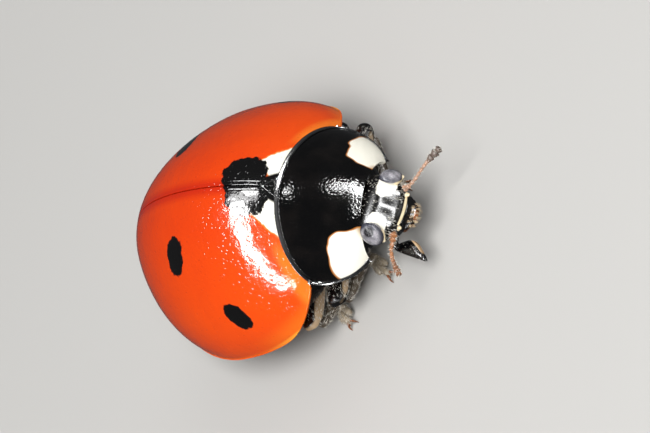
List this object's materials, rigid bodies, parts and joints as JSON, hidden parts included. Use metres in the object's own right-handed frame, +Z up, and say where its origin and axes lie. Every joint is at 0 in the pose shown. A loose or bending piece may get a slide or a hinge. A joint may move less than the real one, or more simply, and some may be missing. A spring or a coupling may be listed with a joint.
{
  "type": "ladybird beetle",
  "caption": "Ladybird beetle standing on its drawn-in legs, with a domed red back with black spots and a black shield with white corners.",
  "frame": {"origin": "on the ground under the middle of the whole animal, feelers included", "axes": "+Z up, the head towards -Y, the animal's left side towards +X"},
  "size_m": [0.0054, 0.008, 0.0035],
  "materials": {
    "wing_case": "glossy",
    "black_plate": "glossy",
    "belly": "satin",
    "leg": "satin",
    "eye": "glossy",
    "pale_plate": "satin",
    "brown_horn": "satin"
  },
  "bodies": {
    "root": {"elytron_left": "wing_case", "elytron_right": "wing_case", "pronotum": "black_plate", "scutellum": "black_plate", "coxa_front_left": "leg", "femur_front_left": "leg", "tibia_front_left": "leg", "tarsus_front_left": "leg", "coxa_front_right": "leg", "femur_front_right": "leg", "tibia_front_right": "leg", "tarsus_front_right": "leg", "coxa_middle_left": "leg", "femur_middle_left": "leg", "tibia_middle_left": "leg", "tarsus_middle_left": "leg", "coxa_middle_right": "leg", "femur_middle_right": "leg", "tibia_middle_right": "leg", "tarsus_middle_right": "leg", "coxa_hind_left": "leg", "femur_hind_left": "leg", "tibia_hind_left": "leg", "tarsus_hind_left": "leg", "coxa_hind_right": "leg", "femur_hind_right": "leg", "tibia_hind_right": "leg", "tarsus_hind_right": "leg", "prothorax": "belly", "thorax": "belly", "abdomen": "belly", "head": "black_plate", "clypeus": "pale_plate", "labrum": "black_plate", "mandible_left": "brown_horn", "mandible_right": "brown_horn", "labium": "belly", "eye_left": "eye", "eye_right": "eye", "antenna_left": "brown_horn", "antenna_right": "brown_horn", "palp_left": "black_plate", "palp_right": "black_plate"}
  },
  "joints": []
}
